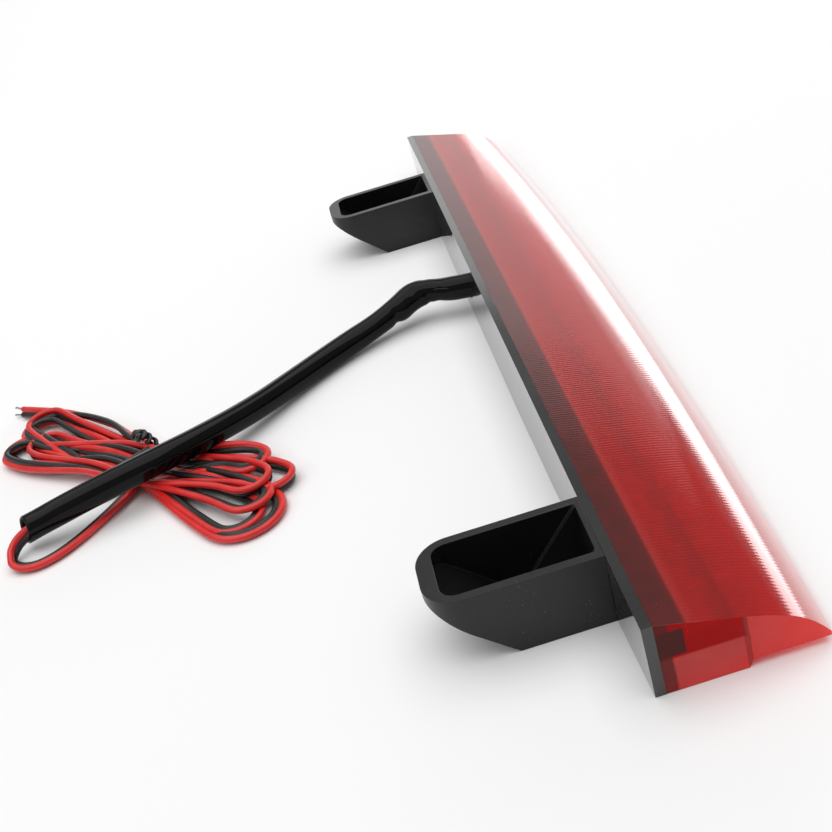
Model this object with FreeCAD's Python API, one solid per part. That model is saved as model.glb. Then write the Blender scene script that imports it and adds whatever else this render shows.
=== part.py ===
"""High-level third brake light: a long, low red lens on a black housing strip.

Row frame, millimetres: +X along the lamp, -Y towards the thin front edge of the
lens, +Y towards the two hollow feet and the cable, +Z up.  The origin is on the
parting plane between lens and housing, at mid-length, on the surface that the
lamp stands on.
"""
import FreeCAD, Part
import math
import os
from FreeCAD import Vector

# ---------------------------------------------------------------- lamp body
LAMP_LENGTH = 360.0
LAMP_HEIGHT = 20.0
LENS_END_DEPTH = 38.3       # parting plane to front edge, at the two ends
LENS_BOW = 5.6              # how much deeper the lens is at mid-length
LENS_WALL = 2.4
LENS_FLOOR = 2.2
LENS_STEP = 2.0             # the front part of the underside is raised by this
STEP_START = 0.50           # share of the depth where the raised part starts
STEP_END = 0.53
CAVITY_SHARE = 0.80         # the lamp chamber ends here, the edge is solid
TOP_SLOPE = 0.50            # top surface: height * (1 - slope*u - nose*u**7)
TOP_NOSE = 0.34

# ------------------------------------------------------------ rear housing
BACK_PLATE = 2.6
REAR_BULGE = 2.1            # extra plate thickness low down at mid-length
LIP_DEPTH = 7.0             # wall that stands inside the lens
LIP_WALL = 1.2
LATCH_WIDTH = 4.0           # block that stiffens each upper corner of the lip
LATCH_HEIGHT = 4.5
SEAL_WIDTH = 1.0
SEAL_DEPTH = 1.4
FIT_GAP = 0.25

# ------------------------------------------------------------- hollow feet
FOOT_WIDTH = 25.0
FOOT_STARTS = (-153.1, 102.1)       # low-X side of each foot
FOOT_REACH = 45.6                   # parting plane to the nose
FOOT_FLAT = 27.1                    # the flat underside ends here
FOOT_NOSE_BASE = 17.0               # height of the nose's lower edge
FOOT_CORNER = 9.0
POCKET_CORNER = 4.0
FOOT_SIDE = 2.5
FOOT_NOSE_WALL = 4.2
FOOT_FLOOR = 2.6
FOOT_BACK = 1.5                     # wall against the housing
GUSSET = 1.2
GUSSET_REACH = 15.6
FOOT_SCREW_HEIGHT = 9.0
SCREW_SHANK = 1.0                   # radius of the screws' threaded part
FOOT_SCREW_LENGTH = 9.5
SCREW_HEAD = 1.8                    # radius
SCREW_HEAD_HEIGHT = 1.4

# ------------------------------------------------- board, LEDs and reflector
BOARD_END_GAP = 2.0                 # from the lip at each end
BOARD_REAR = 2.5                    # gap from the back plate
BOARD_DEPTH = 12.9
BOARD_THICKNESS = 1.6
BOARD_BASE = 7.6                    # height of its underside
LEDGE_PLACES = (-163.0, -80.0, 75.0, 160.0)
LEDGE_WIDTH = 8.0
LEDGE_DEPTH = 9.0
LEDGE_HEIGHT = 4.6
BOARD_SCREW_LENGTH = 5.2
LED_COUNT = 24
LED_PITCH = 14.0
LED_RADIUS = 2.5
LED_FLANGE = 2.9
LED_FLANGE_HEIGHT = 1.0
LED_LENGTH = 8.4
LED_LEG = 0.5
LED_LEG_PITCH = 2.54
LED_LEG_LENGTH = 3.7
LEDS_PER_STRING = 3
HOLDER_THICKNESS = 2.2
RESISTOR_RADIUS = 1.1
RESISTOR_BODY = 6.0
PART_LEG = 0.6
PART_LEG_REACH = 1.4
DIODE_RADIUS = 1.35
DIODE_BODY = 5.2
DIODE_PLACE = 42.0
JOINT_RADIUS = 1.1

# -------------------------------------------------------------------- cable
CABLE_X = 26.0
CABLE_Z = 10.2
SLEEVE_RADIUS = 4.2
SLEEVE_INSIDE = 6.0                 # how far it reaches into the lamp
OUTLET_GAP = 0.15
TIE_WIDTH = 2.4
TIE_WALL = 0.7
TIE_SEAT = 1.0                      # gap from the back plate
CORE_RADIUS = 1.1                   # one insulated core
STRAND_RADIUS = 0.5
STRIPPED = 1.8
PAIR_RADIUS = 1.6                   # round stand-in for the flat red and black pair
HANK_TOP = 6.8
TWIST_TIE_WIDTH = 5.0
TWIST_TIE_WALL = 0.8

# Route of the sleeve's centre line, from its end inside the lamp to its cut end.
SLEEVE_ROUTE = [
    (CABLE_X, -SLEEVE_INSIDE, CABLE_Z), (CABLE_X + 0.2, 7.5, CABLE_Z + 0.1), (29.0, 23.0, 10.0),
    (27.5, 38.0, 6.6), (19.5, 54.0, 4.6), (6.5, 71.0, 4.8), (-8.0, 86.0, 6.4),
    (-23.0, 103.0, 9.6), (-34.0, 120.0, 12.0), (-39.0, 137.0, 11.2), (-41.3, 150.0, 9.5),
    (-42.0, 161.0, 7.2)]

# Route of the wire pair from the sleeve's cut end to the hank.
PAIR_ROUTE = [
    (-42.0, 161.0, 7.2), (-42.8, 168.8, 5.4), (-49.5, 174.0, 3.0), (-57.0, 168.5, 1.8),
    (-58.0, 158.0, 1.7), (-52.5, 148.5, 1.6), (-44.0, 141.6, 1.7), (-33.5, 133.02, 1.8)]

# Outline of the tied hank, lobe by lobe, from the waist's near side.
HANK_LEFT = [(4.0, 133.0), (26.0, 146.0), (42.0, 160.0), (45.0, 170.0), (32.0, 177.0),
             (12.0, 173.0), (-6.0, 163.0), (-17.0, 148.0)]
HANK_RIGHT = [(-33.0, 133.0), (-46.0, 122.0), (-64.0, 108.0), (-77.0, 92.0), (-73.0, 81.0),
              (-54.0, 75.0), (-36.0, 79.0), (-18.0, 95.0), (-11.0, 115.0)]
WAIST = Vector(-15.5, 130.5, 0)
WAIST_HALF = 13.0

HALF = LAMP_LENGTH / 2
UNDERCUT = 1.0                      # how far the lofts reach below the base before the trim
STATIONS = [-1.0, -0.5, 0.0, 0.5, 1.0]


def depth_at(share):
    """Depth of the lens at a share (-1 to 1) of the half length."""
    return LENS_END_DEPTH + LENS_BOW * (1 - share * share)


def top_height(u):
    """Height of the lens's outer top surface at a share u of its depth."""
    return LAMP_HEIGHT * (1 - TOP_SLOPE * u - TOP_NOSE * u ** 7)


def box(x0, x1, y0, y1, z0, z1):
    return Part.makeBox(x1 - x0, y1 - y0, z1 - z0, Vector(x0, y0, z0))


def rod(radius, length, start, direction):
    return Part.makeCylinder(radius, length, start, direction)


def closed(points):
    return Part.makePolygon(points + [points[0]])


def save(name, shape):
    shape.exportStep("parts/%s.step" % name)
    print("%-18s volume %10.1f mm3, %d solids" % (name, shape.Volume, len(shape.Solids)))


def flat_based(shape):
    """Trims a loft that reaches a little too low, so that its underside is a true plane."""
    return shape.cut(box(-LAMP_LENGTH, LAMP_LENGTH, -LAMP_LENGTH, LAMP_LENGTH, -2 * UNDERCUT, 0))


# ---------------------------------------------------------------------- lens
def top_curve(x, depth, drop, share):
    """Top line of a section, lowered by drop, from the parting plane forward."""
    steps = [0, 0.15, 0.35, 0.55, 0.7, 0.82, 0.92, 1.0]
    points = [Vector(x, -depth * s * share, top_height(s * share) - drop) for s in steps]
    curve = Part.BSplineCurve()
    curve.interpolate(points)
    return curve.toShape()


def lens_section(share, inset, inner):
    """Closed outline of the lens, or of its chamber, at one station."""
    x = share * (HALF - inset)
    depth = depth_at(share)
    reach = CAVITY_SHARE if inner else 1.0
    drop = LENS_WALL if inner else 0.0
    floor = LENS_FLOOR if inner else 0.0
    front = -depth * reach
    top = top_curve(x, depth, drop, reach)
    start, end = top.valueAt(top.FirstParameter), top.valueAt(top.LastParameter)
    low = [end, Vector(x, front, LENS_STEP + floor), Vector(x, -depth * STEP_END, LENS_STEP + floor),
           Vector(x, -depth * STEP_START, floor)]
    if not inner:
        low += [Vector(x, -depth * STEP_START, -UNDERCUT), Vector(x, 0, -UNDERCUT)]
    low += [Vector(x, 0, floor), start]
    edges = [top] + [Part.makeLine(a, b) for a, b in zip(low, low[1:])]
    return Part.Wire(edges)


def make_lens():
    outer = Part.makeLoft([lens_section(s, 0, False) for s in STATIONS], True)
    chamber = Part.makeLoft([lens_section(s, LENS_WALL, True) for s in STATIONS], True)
    return flat_based(outer.cut(chamber))


# ------------------------------------------------------------------- housing
def lip_top():
    """Highest line that the lip and seal can have at a given depth in the lens."""
    return top_height(LIP_DEPTH / LENS_END_DEPTH) - LENS_WALL - FIT_GAP


def lip_outline(grow):
    side = HALF - LENS_WALL - SEAL_WIDTH + grow
    return side, LENS_FLOOR + SEAL_WIDTH - grow, lip_top() + grow


def ring(depth, grow, wall):
    side, low, high = lip_outline(grow)
    outer = box(-side, side, -depth, 0, low, high)
    inner = box(-side + wall, side - wall, -depth - 1, 1, low + wall, high - wall)
    return outer.cut(inner)


def back_plate():
    wires = []
    for s in STATIONS:
        rear = BACK_PLATE + REAR_BULGE * (1 - s * s)
        wires.append(closed([Vector(s * HALF, 0, -UNDERCUT), Vector(s * HALF, rear, -UNDERCUT),
                             Vector(s * HALF, rear, 0), Vector(s * HALF, BACK_PLATE, LAMP_HEIGHT),
                             Vector(s * HALF, 0, LAMP_HEIGHT)]))
    return flat_based(Part.makeLoft(wires, True))


def foot_screw_places():
    inset = FOOT_SIDE - FIT_GAP
    return [x for start in FOOT_STARTS for x in (start + inset, start + FOOT_WIDTH - inset)]


def make_housing():
    plate = back_plate()
    plate = plate.fuse(ring(LIP_DEPTH, 0, LIP_WALL))
    side, _, high = lip_outline(0)
    for x0 in (-side, side - LATCH_WIDTH):
        plate = plate.fuse(box(x0, x0 + LATCH_WIDTH, -LIP_DEPTH, 0, high - LATCH_HEIGHT, high))
    plate = plate.cut(rod(SLEEVE_RADIUS + TIE_WALL + OUTLET_GAP, TIE_WIDTH + 2 * OUTLET_GAP,
                          Vector(CABLE_X, -TIE_SEAT - TIE_WIDTH - OUTLET_GAP, CABLE_Z), Vector(0, 1, 0)))
    for x in LEDGE_PLACES:
        ledge = box(x - LEDGE_WIDTH / 2, x + LEDGE_WIDTH / 2, -LEDGE_DEPTH - BOARD_REAR, 0,
                    BOARD_BASE - LEDGE_HEIGHT, BOARD_BASE)
        plate = plate.fuse(ledge)
        plate = plate.cut(rod(SCREW_SHANK, BOARD_SCREW_LENGTH, board_screw_seat(x), Vector(0, 0, -1)))
    outlet = rod(SLEEVE_RADIUS + OUTLET_GAP, 30, Vector(CABLE_X, -10, CABLE_Z), Vector(0, 1, 0))
    plate = plate.cut(outlet)
    for x in foot_screw_places():
        plate = plate.cut(rod(SCREW_SHANK, 10, Vector(x, -1, FOOT_SCREW_HEIGHT), Vector(0, 1, 0)))
    return plate.removeSplitter()


def make_seal():
    side, low, high = lip_outline(0)
    lip_core = box(-side, side, -LIP_DEPTH, 0, low, high)
    side, low, high = lip_outline(SEAL_WIDTH)
    return box(-side, side, -SEAL_DEPTH, 0, low, high).cut(lip_core)


# ---------------------------------------------------------------------- feet
def foot_plan(x0, x1, y0, y1, corner, z):
    """Plan outline: square against the housing, two rounded corners at the nose."""
    k = corner * (1 - math.sqrt(0.5))
    return Part.Wire([
        Part.makeLine(Vector(x0, y0, z), Vector(x0, y1 - corner, z)),
        Part.Arc(Vector(x0, y1 - corner, z), Vector(x0 + k, y1 - k, z), Vector(x0 + corner, y1, z)).toShape(),
        Part.makeLine(Vector(x0 + corner, y1, z), Vector(x1 - corner, y1, z)),
        Part.Arc(Vector(x1 - corner, y1, z), Vector(x1 - k, y1 - k, z), Vector(x1, y1 - corner, z)).toShape(),
        Part.makeLine(Vector(x1, y1 - corner, z), Vector(x1, y0, z)),
        Part.makeLine(Vector(x1, y0, z), Vector(x0, y0, z))])


def prism_x(points, x0, x1):
    """Solid between x0 and x1 with the given (y, z) outline."""
    face = Part.Face(closed([Vector(x0, y, z) for y, z in points]))
    return face.extrude(Vector(x1 - x0, 0, 0))


def make_foot(start, plate):
    end = start + FOOT_WIDTH
    block = Part.Face(foot_plan(start, end, 0, FOOT_REACH, FOOT_CORNER, 0)).extrude(
        Vector(0, 0, LAMP_HEIGHT))
    block = block.common(prism_x([(0, 0), (FOOT_FLAT, 0), (FOOT_REACH, FOOT_NOSE_BASE),
                                  (FOOT_REACH, LAMP_HEIGHT), (0, LAMP_HEIGHT)], start, end))
    back = BACK_PLATE + FOOT_BACK
    nose = FOOT_REACH - FOOT_NOSE_WALL
    slope = FOOT_NOSE_BASE / (FOOT_REACH - FOOT_FLAT)
    bend = FOOT_FLAT - FOOT_FLOOR * slope / 2
    rise = FOOT_FLOOR + (nose - bend) * slope
    pocket = Part.Face(foot_plan(start + FOOT_SIDE, end - FOOT_SIDE, back, nose,
                                 POCKET_CORNER, 0)).extrude(Vector(0, 0, LAMP_HEIGHT + 1))
    pocket = pocket.common(prism_x([(back, FOOT_FLOOR), (bend, FOOT_FLOOR), (nose, rise),
                                    (nose, LAMP_HEIGHT + 1), (back, LAMP_HEIGHT + 1)], start, end))
    foot = block.cut(pocket)
    web = [(back, LAMP_HEIGHT), (back, FOOT_FLOOR), (back + GUSSET_REACH, FOOT_FLOOR)]
    for x0 in (start + FOOT_SIDE, end - FOOT_SIDE - GUSSET):
        foot = foot.fuse(prism_x(web, x0, x0 + GUSSET))
    foot = foot.cut(plate)
    for x in foot_screw_places():
        foot = foot.cut(rod(SCREW_SHANK, FOOT_SCREW_LENGTH, Vector(x, 0, FOOT_SCREW_HEIGHT),
                            Vector(0, 1, 0)))
    return foot.removeSplitter()


def screw(seat, direction, length):
    """Pan-head screw: its head sits on the seat, its shank goes along direction."""
    head = rod(SCREW_HEAD, SCREW_HEAD_HEIGHT, seat - direction * SCREW_HEAD_HEIGHT, direction)
    recess = rod(SCREW_HEAD * 0.4, SCREW_HEAD_HEIGHT * 0.6, seat - direction * SCREW_HEAD_HEIGHT, direction)
    return head.cut(recess).fuse(rod(SCREW_SHANK, length, seat, direction))


def make_foot_screws():
    return Part.Compound([screw(Vector(x, 0, FOOT_SCREW_HEIGHT), Vector(0, 1, 0), FOOT_SCREW_LENGTH)
                          for x in foot_screw_places()])


# --------------------------------------------------------------- electronics
BOARD_TOP = BOARD_BASE + BOARD_THICKNESS
BOARD_FRONT = -(BOARD_REAR + BOARD_DEPTH)
LED_HEIGHT = BOARD_BASE + BOARD_THICKNESS / 2
LED_BASE = BOARD_FRONT - 0.2
NOTCH_DEPTH = SLEEVE_INSIDE + 2.5
SOLDER_Y = -NOTCH_DEPTH - 2.8
RESISTOR_Y = BOARD_FRONT + 2.2
CORE_HEIGHT = BOARD_TOP + CORE_RADIUS + 0.05


def board_screw_seat(x):
    return Vector(x, -BOARD_REAR - LEDGE_DEPTH / 2, BOARD_BASE + BOARD_THICKNESS)


def led_places():
    first = -(LED_COUNT - 1) / 2 * LED_PITCH
    return [first + i * LED_PITCH for i in range(LED_COUNT)]


def string_places():
    """The middle LED of every series string, where its resistor sits."""
    return led_places()[LEDS_PER_STRING // 2::LEDS_PER_STRING]


def make_board():
    side = lip_outline(-LIP_WALL - BOARD_END_GAP)[0]
    board = box(-side, side, BOARD_FRONT, -BOARD_REAR, BOARD_BASE, BOARD_TOP)
    half_notch = SLEEVE_RADIUS + TIE_WALL + 1.4
    board = board.cut(box(CABLE_X - half_notch, CABLE_X + half_notch, -NOTCH_DEPTH, 0,
                          BOARD_BASE - 1, BOARD_TOP + 1))
    for x in LEDGE_PLACES:
        board = board.cut(rod(SCREW_SHANK + 0.1, BOARD_THICKNESS + 2, board_screw_seat(x) + Vector(0, 0, 1),
                              Vector(0, 0, -1)))
    return board


def make_board_screws():
    return Part.Compound([screw(board_screw_seat(x), Vector(0, 0, -1), BOARD_SCREW_LENGTH)
                          for x in LEDGE_PLACES])


def make_led(x):
    front = Vector(0, -1, 0)
    body = rod(LED_RADIUS, LED_LENGTH - LED_RADIUS, Vector(x, LED_BASE, LED_HEIGHT), front)
    dome = Part.makeSphere(LED_RADIUS, Vector(x, LED_BASE - LED_LENGTH + LED_RADIUS, LED_HEIGHT))
    led = body.fuse(dome).fuse(rod(LED_FLANGE, LED_FLANGE_HEIGHT, Vector(x, LED_BASE, LED_HEIGHT), front))
    for side in (-1, 1):
        z = LED_HEIGHT + side * LED_LEG_PITCH / 2
        led = led.fuse(box(x - LED_LEG / 2, x + LED_LEG / 2, LED_BASE - 0.2, LED_BASE + LED_LEG_LENGTH,
                           z - LED_LEG / 2, z + LED_LEG / 2))
    return led


def make_holder():
    """Strip across the whole chamber that the LED bodies are pushed through."""
    side = HALF - LENS_WALL - FIT_GAP
    rear = LED_BASE - LED_FLANGE_HEIGHT
    front = rear - HOLDER_THICKNESS
    top = top_height(-front / LENS_END_DEPTH) - LENS_WALL - FIT_GAP
    strip = box(-side, side, front, rear, LENS_FLOOR + FIT_GAP, top)
    for x in led_places():
        strip = strip.cut(rod(LED_RADIUS + 0.1, HOLDER_THICKNESS + 2, Vector(x, rear + 1, LED_HEIGHT),
                              Vector(0, -1, 0)))
    return strip


def axial_part(x, y, radius, body):
    """Body with two square legs that bend down to the board."""
    z = BOARD_TOP + radius + 0.15
    part = rod(radius, body, Vector(x - body / 2, y, z), Vector(1, 0, 0))
    reach = body / 2 + PART_LEG_REACH
    half = PART_LEG / 2
    part = part.fuse(box(x - reach, x + reach, y - half, y + half, z - half, z + half))
    for side in (-1, 1):
        inner, outer = sorted((side * reach, side * (reach - PART_LEG)))
        part = part.fuse(box(x + inner, x + outer, y - half, y + half, BOARD_TOP, z + half))
    return part.removeSplitter()


def core_xs():
    return [CABLE_X - CORE_RADIUS - 0.1, CABLE_X + CORE_RADIUS + 0.1]


def make_core(x):
    """One insulated core, laid on the board, with its stripped strand."""
    along = Vector(0, -1, 0)
    insulation = -SOLDER_Y - SLEEVE_INSIDE - STRIPPED
    core = rod(CORE_RADIUS, insulation, Vector(x, -SLEEVE_INSIDE, CORE_HEIGHT), along)
    strand = rod(STRAND_RADIUS, insulation + STRIPPED, Vector(x, -SLEEVE_INSIDE, CORE_HEIGHT), along)
    return core.fuse(strand)


def make_joint(x):
    """Cone of solder on the board that buries the end of one strand."""
    height = CORE_HEIGHT + 2 * STRAND_RADIUS - BOARD_TOP
    cone = Part.makeCone(JOINT_RADIUS, STRAND_RADIUS, height, Vector(x, SOLDER_Y, BOARD_TOP))
    return cone.cut(make_core(x))


# --------------------------------------------------------------------- cable
def corner_radius(a, b, c):
    """Largest tangent arc at b: 0.45 of the shorter run over tan(half the turn)."""
    before, after = b - a, c - b
    turn = before.getAngle(after)
    return 0.45 * min(before.Length, after.Length) / math.tan(turn / 2)


def tube_path(points, radii):
    """Straight runs joined by tangent arcs."""
    edges, last = [], points[0]
    for a, b, c, radius in zip(points, points[1:], points[2:], radii):
        into, out = (b - a).normalize(), (c - b).normalize()
        turn = into.getAngle(out)
        cut = radius * math.tan(turn / 2)
        start, end = b - into * cut, b + out * cut
        bisector = (out - into).normalize()
        middle = b + bisector * (radius / math.cos(turn / 2) - radius)
        edges += [Part.LineSegment(last, start).toShape(), Part.Arc(start, middle, end).toShape()]
        last = end
    edges.append(Part.LineSegment(last, points[-1]).toShape())
    return Part.Wire(edges)


def pipe(path, start, direction, radius):
    profile = Part.Wire([Part.Circle(start, direction, radius).toShape()])
    return path.makePipeShell([profile], True, False)


def make_cord(name, route, radius):
    points = [Vector(*p) for p in route]
    radii = [corner_radius(a, b, c) for a, b, c in zip(points, points[1:], points[2:])]
    path = tube_path(points, radii)
    tube = pipe(path, points[0], points[1] - points[0], radius)
    section = math.pi * radius * radius * path.Length
    print("%s: length %.1f, arc radii %s, volume/section*length %.4f"
          % (name, path.Length, [round(r, 1) for r in radii], tube.Volume / section))
    return tube


def make_strain_tie():
    """Nylon tie that stops the sleeve from being pulled out of the housing."""
    start = Vector(CABLE_X, -TIE_WIDTH - TIE_SEAT, CABLE_Z)
    along = Vector(0, 1, 0)
    band = rod(SLEEVE_RADIUS + TIE_WALL, TIE_WIDTH, start, along)
    return band.cut(rod(SLEEVE_RADIUS, TIE_WIDTH, start, along))


def waist_band(grow, z0, z1):
    """Flat block across the hank's waist, square to the hank."""
    along = (Vector(*HANK_LEFT[3], 0) - Vector(*HANK_RIGHT[4], 0)).normalize()
    across = Vector(-along.y, along.x, 0)
    half = WAIST_HALF + grow
    reach = TWIST_TIE_WIDTH / 2
    corners = [WAIST + along * (i * reach) + across * (j * half)
               for i, j in ((-1, -1), (1, -1), (1, 1), (-1, 1))]
    face = Part.Face(closed([Vector(p.x, p.y, z0) for p in corners]))
    return face.extrude(Vector(0, 0, z1 - z0))


def make_hank():
    points = [Vector(x, y, 0) for x, y in HANK_LEFT + HANK_RIGHT]
    curve = Part.BSplineCurve()
    curve.interpolate(points, PeriodicFlag=True)
    slab = Part.Face(Part.Wire([curve.toShape()])).extrude(Vector(0, 0, HANK_TOP))
    groove = waist_band(20, -1, HANK_TOP + 1).cut(
        waist_band(-TWIST_TIE_WALL, TWIST_TIE_WALL, HANK_TOP - TWIST_TIE_WALL))
    return slab.cut(groove)


def make_twist_tie():
    return waist_band(0, 0, HANK_TOP).cut(
        waist_band(-TWIST_TIE_WALL, TWIST_TIE_WALL, HANK_TOP - TWIST_TIE_WALL))


def main():
    os.makedirs("parts", exist_ok=True)
    plate = back_plate()
    save("lens", make_lens())
    save("rear_housing", make_housing())
    save("lens_seal", make_seal())
    for name, start in zip(("left_foot", "right_foot"), FOOT_STARTS):
        save(name, make_foot(start, plate))
    save("foot_screws", make_foot_screws())
    save("circuit_board", make_board())
    save("board_screws", make_board_screws())
    save("leds", Part.Compound([make_led(x) for x in led_places()]))
    save("led_holder", make_holder())
    save("resistors", Part.Compound([axial_part(x, RESISTOR_Y, RESISTOR_RADIUS, RESISTOR_BODY)
                                     for x in string_places()]))
    save("diode", axial_part(DIODE_PLACE, SOLDER_Y + 2, DIODE_RADIUS, DIODE_BODY))
    save("solder_joints", Part.Compound([make_joint(x) for x in core_xs()]))
    for name, x in zip(("black_core", "red_core"), core_xs()):
        save(name, make_core(x))
    save("strain_tie", make_strain_tie())
    save("cable_sleeve", make_cord("cable_sleeve", SLEEVE_ROUTE, SLEEVE_RADIUS))
    save("wire_pair", make_cord("wire_pair", PAIR_ROUTE, PAIR_RADIUS))
    save("wire_hank", make_hank())
    save("twist_tie", make_twist_tie())


main()
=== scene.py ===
"""Third brake light for a car: red lens, black housing, two hollow feet, a sleeved cable and its tied wire.

Metres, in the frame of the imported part: +X along the lamp, -Y towards the thin front edge of the lens,
+Y towards the feet and the cable, +Z up, and z = 0 on the surface that the lamp stands on.
"""
import logging
import math
from dataclasses import dataclass
from enum import Enum, IntEnum
from typing import Any, Optional, Sequence, Union

import bmesh
import bpy
import numpy as np
from mathutils import Matrix


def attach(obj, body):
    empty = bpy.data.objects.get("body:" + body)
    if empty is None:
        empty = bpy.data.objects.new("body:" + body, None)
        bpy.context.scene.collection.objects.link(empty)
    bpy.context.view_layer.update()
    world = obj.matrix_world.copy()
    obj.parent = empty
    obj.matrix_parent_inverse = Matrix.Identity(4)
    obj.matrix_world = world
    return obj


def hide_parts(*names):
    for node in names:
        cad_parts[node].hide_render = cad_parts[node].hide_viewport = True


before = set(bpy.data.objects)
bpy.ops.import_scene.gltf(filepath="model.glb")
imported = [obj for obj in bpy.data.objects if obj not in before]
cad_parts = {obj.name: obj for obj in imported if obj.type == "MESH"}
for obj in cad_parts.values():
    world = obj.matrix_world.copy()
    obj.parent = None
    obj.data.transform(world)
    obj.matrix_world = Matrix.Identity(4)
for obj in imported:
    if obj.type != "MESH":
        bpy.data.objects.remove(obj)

BODY = "root"
LOG = logging.getLogger("brake_light")

Colour = tuple[float, float, float, float]
Point = tuple[float, float, float]
Operand = Union["Signal", float, Colour, Point]


# ------------------------------------------------------------------ shader graphs
class Signal:
    """One output socket of a shader graph. Each arithmetic operator on it adds a Math node."""

    def __init__(self, graph: "Graph", socket: bpy.types.NodeSocket) -> None:
        """Keeps the socket and the graph that it belongs to."""
        self.graph = graph
        self.socket = socket

    def apply(self, operation: str, other: Operand = 0.0, swap: bool = False) -> "Signal":
        """Adds one Math node.

        Args:
            operation: The Math node's operation.
            other: The second value.
            swap: Puts this signal second.

        Returns:
            The node's result.
        """
        first, second = (other, self) if swap else (self, other)
        return self.graph.signal("ShaderNodeMath", {"operation": operation}, {0: first, 1: second})

    def __add__(self, other: Operand) -> "Signal":
        """Sum."""
        return self.apply("ADD", other)

    def __radd__(self, other: Operand) -> "Signal":
        """Sum, reflected."""
        return self.apply("ADD", other, swap=True)

    def __sub__(self, other: Operand) -> "Signal":
        """Difference."""
        return self.apply("SUBTRACT", other)

    def __rsub__(self, other: Operand) -> "Signal":
        """Difference, reflected."""
        return self.apply("SUBTRACT", other, swap=True)

    def __mul__(self, other: Operand) -> "Signal":
        """Product."""
        return self.apply("MULTIPLY", other)

    def __rmul__(self, other: Operand) -> "Signal":
        """Product, reflected."""
        return self.apply("MULTIPLY", other, swap=True)

    def __truediv__(self, other: Operand) -> "Signal":
        """Quotient."""
        return self.apply("DIVIDE", other)

    def __gt__(self, other: Operand) -> "Signal":
        """One where this signal is larger, else zero."""
        return self.apply("GREATER_THAN", other)

    def __lt__(self, other: Operand) -> "Signal":
        """One where this signal is smaller, else zero."""
        return self.apply("LESS_THAN", other)

    def between(self, low: float, high: float, to_low: float = 0.0, to_high: float = 1.0) -> "Signal":
        """Spreads the range low to high over to_low to to_high, and holds it there.

        Args:
            low: Start of the range read.
            high: End of the range read.
            to_low: Value at the start.
            to_high: Value at the end.

        Returns:
            The mapped value.
        """
        inputs = {"Value": self, "From Min": low, "From Max": high, "To Min": to_low, "To Max": to_high}
        return self.graph.signal("ShaderNodeMapRange", {"clamp": True}, inputs)


class Graph:
    """The node tree of one new material."""

    def __init__(self, name: str) -> None:
        """Makes the material and empties its tree."""
        self.material = bpy.data.materials.new(name)
        self.material.use_nodes = True
        self.tree = self.material.node_tree
        self.tree.nodes.clear()

    def node(self, kind: str, settings: Optional[dict[str, Any]] = None,
             inputs: Optional[dict[Any, Operand]] = None) -> bpy.types.Node:
        """Adds a node.

        Args:
            kind: The node's type.
            settings: Its properties, set first. A ramp's stops are (place, colour) pairs.
            inputs: Values or signals for its sockets, by name or number.

        Returns:
            The new node.
        """
        made = self.tree.nodes.new(kind)
        for key, setting in (settings or {}).items():
            if key == "stops":
                elements = made.color_ramp.elements
                elements[0].position, elements[0].color = setting[0]
                elements[-1].position, elements[-1].color = setting[-1]
                for place, shade in setting[1:-1]:
                    elements.new(place).color = shade
            else:
                setattr(made, key, setting)
        for key, given in (inputs or {}).items():
            if isinstance(given, Signal):
                self.tree.links.new(given.socket, made.inputs[key])
            else:
                made.inputs[key].default_value = given
        return made

    def signal(self, kind: str, settings: Optional[dict[str, Any]] = None,
               inputs: Optional[dict[Any, Operand]] = None, output: Any = 0) -> Signal:
        """Adds a node and gives one of its outputs.

        Args:
            kind: The node's type.
            settings: Its properties.
            inputs: Values or signals for its sockets.
            output: Name or number of the output.

        Returns:
            That output.
        """
        return Signal(self, self.node(kind, settings, inputs).outputs[output])

    def place(self) -> Signal:
        """Object coordinates, in metres."""
        return self.signal("ShaderNodeTexCoord", output="Object")

    def axes(self, vector: Signal) -> tuple[Signal, Signal, Signal]:
        """Splits a vector into its three numbers."""
        made = self.node("ShaderNodeSeparateXYZ", inputs={0: vector})
        return tuple(Signal(self, made.outputs[i]) for i in range(3))

    def noise(self, scale: float, detail: float = 2.0, stretch: Point = (1.0, 1.0, 1.0)) -> Signal:
        """Noise on object coordinates.

        Args:
            scale: Number of features in a metre.
            detail: Octaves.
            stretch: Scale of each axis.

        Returns:
            Noise from 0 to 1.
        """
        where = self.signal("ShaderNodeMapping", inputs={"Vector": self.place(), "Scale": stretch})
        return self.signal("ShaderNodeTexNoise", inputs={"Vector": where, "Scale": scale, "Detail": detail})

    def specks(self, scale: float, size: float, share: float) -> Signal:
        """Small scattered specks: cell centres closer than size, in patches that a coarse noise lets through.

        Args:
            scale: Cells in a metre.
            size: Radius of a speck as a share of its cell.
            share: Higher leaves fewer patches.

        Returns:
            One on a speck, else zero.
        """
        near = self.signal("ShaderNodeTexVoronoi", inputs={"Vector": self.place(), "Scale": scale})
        return (near < size) * (self.noise(scale / 5, 3.0) > share)

    def mix(self, factor: Operand, first: Operand, second: Operand) -> Signal:
        """Mixes two colours by a factor."""
        return self.signal("ShaderNodeMix", {"data_type": "RGBA"}, {0: factor, 6: first, 7: second}, output=2)

    def bump(self, height: Signal, distance: float, strength: float = 1.0) -> Signal:
        """Normal of a surface raised by height times distance, in metres."""
        inputs = {"Height": height, "Distance": distance, "Strength": strength}
        return self.signal("ShaderNodeBump", inputs=inputs)

    def finish(self, inputs: dict[str, Operand]) -> bpy.types.Material:
        """Ends the graph in a Principled shader.

        Args:
            inputs: Values or signals for its sockets.

        Returns:
            The material.
        """
        return self.end(self.signal("ShaderNodeBsdfPrincipled", inputs=inputs))

    def end(self, shader: Signal) -> bpy.types.Material:
        """Sends a shader to the output and gives the material."""
        self.node("ShaderNodeOutputMaterial", inputs={"Surface": shader})
        return self.material


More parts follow.
